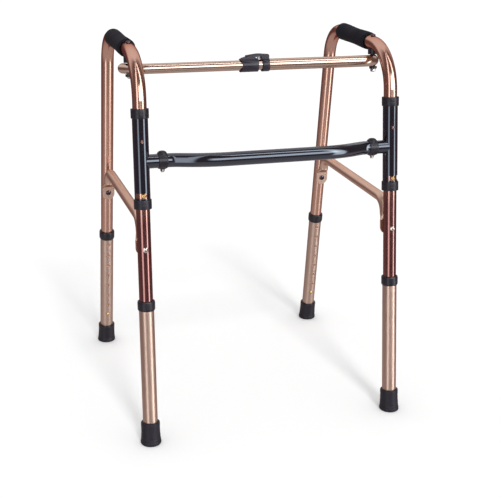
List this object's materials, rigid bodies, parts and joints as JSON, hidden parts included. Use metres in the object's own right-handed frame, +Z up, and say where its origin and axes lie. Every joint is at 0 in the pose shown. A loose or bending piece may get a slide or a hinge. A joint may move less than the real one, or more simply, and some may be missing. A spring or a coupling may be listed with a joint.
{
  "type": "folding walking frame",
  "caption": "Aluminium walking frame: two bent side frames on adjustable legs fold inwards about black sleeves joined by a bowed crossbar, with a telescopic upper bar and foam grips",
  "frame": {"origin": "on the floor, in the middle of the four feet", "axes": "+Z up, +X to the right side frame, front with the crossbar at -Y"},
  "size_m": [0.5324, 0.5154, 0.7301],
  "materials": {
    "bronze_anodised": "satin anodised bronze",
    "black_coat": "semi-gloss black coating",
    "black_plastic": "black moulded plastic",
    "foam": "matte soft foam",
    "rubber": "moulded rubber",
    "brass": "dull brass",
    "steel": "zinc plated steel"
  },
  "bodies": {
    "hinge_frame": {"left_hinge_sleeve": "black_coat", "right_hinge_sleeve": "black_coat", "left_sleeve_collars": "black_plastic", "right_sleeve_collars": "black_plastic", "lower_crossbar": "black_coat", "crossbar_joiners": "steel", "left_crossbar_clamp": "black_coat", "right_crossbar_clamp": "black_coat", "clamp_bolts": "steel", "clamp_nuts": "steel"},
    "left_side": {"left_side_frame": "bronze_anodised", "left_hand_grip": "foam", "left_side_brace": "bronze_anodised", "left_brace_bolts": "steel", "left_brace_nuts": "steel", "left_bar_bracket": "black_coat", "left_leg_springs": "steel", "left_bracket_bolt": "steel"},
    "left_slot_lock": {"left_slot_button": "brass"},
    "left_front_leg": {"left_front_extension": "bronze_anodised", "left_front_collar": "black_plastic", "left_front_foot": "rubber", "left_front_washer": "steel"},
    "left_front_lock": {"left_front_button": "brass"},
    "left_rear_leg": {"left_rear_extension": "bronze_anodised", "left_rear_collar": "black_plastic", "left_rear_foot": "rubber", "left_rear_washer": "steel"},
    "left_rear_lock": {"left_rear_button": "brass"},
    "right_side": {"right_side_frame": "bronze_anodised", "right_hand_grip": "foam", "right_side_brace": "bronze_anodised", "right_brace_bolts": "steel", "right_brace_nuts": "steel", "right_bar_bracket": "black_coat", "right_leg_springs": "steel", "right_pivot_bolt": "steel", "right_pivot_washer": "black_coat", "right_pivot_nut": "steel"},
    "right_slot_lock": {"right_slot_button": "brass"},
    "right_front_leg": {"right_front_extension": "bronze_anodised", "right_front_collar": "black_plastic", "right_front_foot": "rubber", "right_front_washer": "steel"},
    "right_front_lock": {"right_front_button": "brass"},
    "right_rear_leg": {"right_rear_extension": "bronze_anodised", "right_rear_collar": "black_plastic", "right_rear_foot": "rubber", "right_rear_washer": "steel"},
    "right_rear_lock": {"right_rear_button": "brass"},
    "bar_pivot": {"pivot_bush": "black_plastic"},
    "bar_right": {"bar_outer_tube": "bronze_anodised", "latch_body": "black_plastic", "latch_lever_pin": "steel"},
    "bar_guide": {"bar_guide_plug": "black_plastic"},
    "bar_left": {"bar_inner_tube": "bronze_anodised", "left_end_bolt": "steel", "left_end_washer": "black_coat"},
    "latch": {"latch_lever": "black_plastic", "latch_lock_pin": "steel"}
  },
  "joints": [
    {"name": "left_fold", "type": "hinge", "parent": "hinge_frame", "child": "left_side", "pos_m": [-0.24221, -0.16985, 0.53566], "axis": [-0.0083, -0.1262, -0.992], "range_deg": [0, 76]},
    {"name": "left_slot_press", "type": "slide", "parent": "left_side", "child": "left_slot_lock", "axis": [-0.0011, 0.992, -0.1262], "range_m": [0, 0.0036], "stiffness_N_per_m": 400, "springref_m": -0.003, "deforming": ["left_leg_springs"]},
    {"name": "left_front_height", "type": "slide", "parent": "left_side", "child": "left_front_leg", "axis": [-0.0083, -0.1262, -0.992], "range_m": [0, 0.175], "deforming": ["left_front_button"]},
    {"name": "left_front_press", "type": "slide", "parent": "left_side", "child": "left_front_lock", "axis": [0.0011, -0.992, 0.1262], "range_m": [0, 0.0036], "stiffness_N_per_m": 400, "springref_m": -0.003},
    {"name": "left_rear_height", "type": "slide", "parent": "left_side", "child": "left_rear_leg", "axis": [-0.0083, 0.1262, -0.992], "range_m": [0, 0.175], "deforming": ["left_rear_button"]},
    {"name": "left_rear_press", "type": "slide", "parent": "left_side", "child": "left_rear_lock", "axis": [0.0011, 0.992, 0.1262], "range_m": [0, 0.0036], "stiffness_N_per_m": 400, "springref_m": -0.003},
    {"name": "right_fold", "type": "hinge", "parent": "hinge_frame", "child": "right_side", "pos_m": [0.24221, -0.16985, 0.53566], "axis": [-0.0083, 0.1262, 0.992], "range_deg": [0, 38]},
    {"name": "right_slot_press", "type": "slide", "parent": "right_side", "child": "right_slot_lock", "axis": [0.0011, 0.992, -0.1262], "range_m": [0, 0.0036], "stiffness_N_per_m": 400, "springref_m": -0.003, "deforming": ["right_leg_springs"]},
    {"name": "right_front_height", "type": "slide", "parent": "right_side", "child": "right_front_leg", "axis": [0.0083, -0.1262, -0.992], "range_m": [0, 0.175], "deforming": ["right_front_button"]},
    {"name": "right_front_press", "type": "slide", "parent": "right_side", "child": "right_front_lock", "axis": [-0.0011, -0.992, 0.1262], "range_m": [0, 0.0036], "stiffness_N_per_m": 400, "springref_m": -0.003},
    {"name": "right_rear_height", "type": "slide", "parent": "right_side", "child": "right_rear_leg", "axis": [0.0083, 0.1262, -0.992], "range_m": [0, 0.175], "deforming": ["right_rear_button"]},
    {"name": "right_rear_press", "type": "slide", "parent": "right_side", "child": "right_rear_lock", "axis": [-0.0011, 0.992, 0.1262], "range_m": [0, 0.0036], "stiffness_N_per_m": 400, "springref_m": -0.003},
    {"name": "bar_turn_right", "type": "hinge", "parent": "right_side", "child": "bar_pivot", "pos_m": [0.24101, -0.07093, 0.67932], "axis": [-0.0083, 0.1262, 0.992], "range_deg": [-70, 5]},
    {"name": "bar_turn_left", "type": "hinge", "parent": "bar_pivot", "child": "bar_right", "pos_m": [0.24101, -0.07093, 0.67932], "axis": [-0.0083, 0.1262, 0.992], "range_deg": [-5, 15]},
    {"name": "bar_slide_right", "type": "slide", "parent": "bar_right", "child": "bar_guide", "axis": [1, 0, 0], "range_m": [-0.005, 0.08]},
    {"name": "bar_slide_left", "type": "slide", "parent": "bar_guide", "child": "bar_left", "axis": [1, 0, 0], "range_m": [-0.005, 0.08], "deforming": ["latch_lock_pin"]},
    {"name": "latch_press", "type": "hinge", "parent": "bar_right", "child": "latch", "pos_m": [-0.0067, -0.08922, 0.69569], "axis": [0, -0.992, 0.1262], "range_deg": [0, 11], "stiffness_Nm_per_rad": 0.05, "springref_deg": -11.46}
  ],
  "couplings": [
    {"joint": "bar_turn_right", "follows": "right_fold", "ratio": -1.073},
    {"joint": "bar_turn_left", "follows": "left_fold", "ratio": 0.117},
    {"joint": "bar_slide_right", "follows": "right_fold", "m_per_rad": 0.0728},
    {"joint": "bar_slide_left", "follows": "left_fold", "m_per_rad": 0.0563}
  ]
}
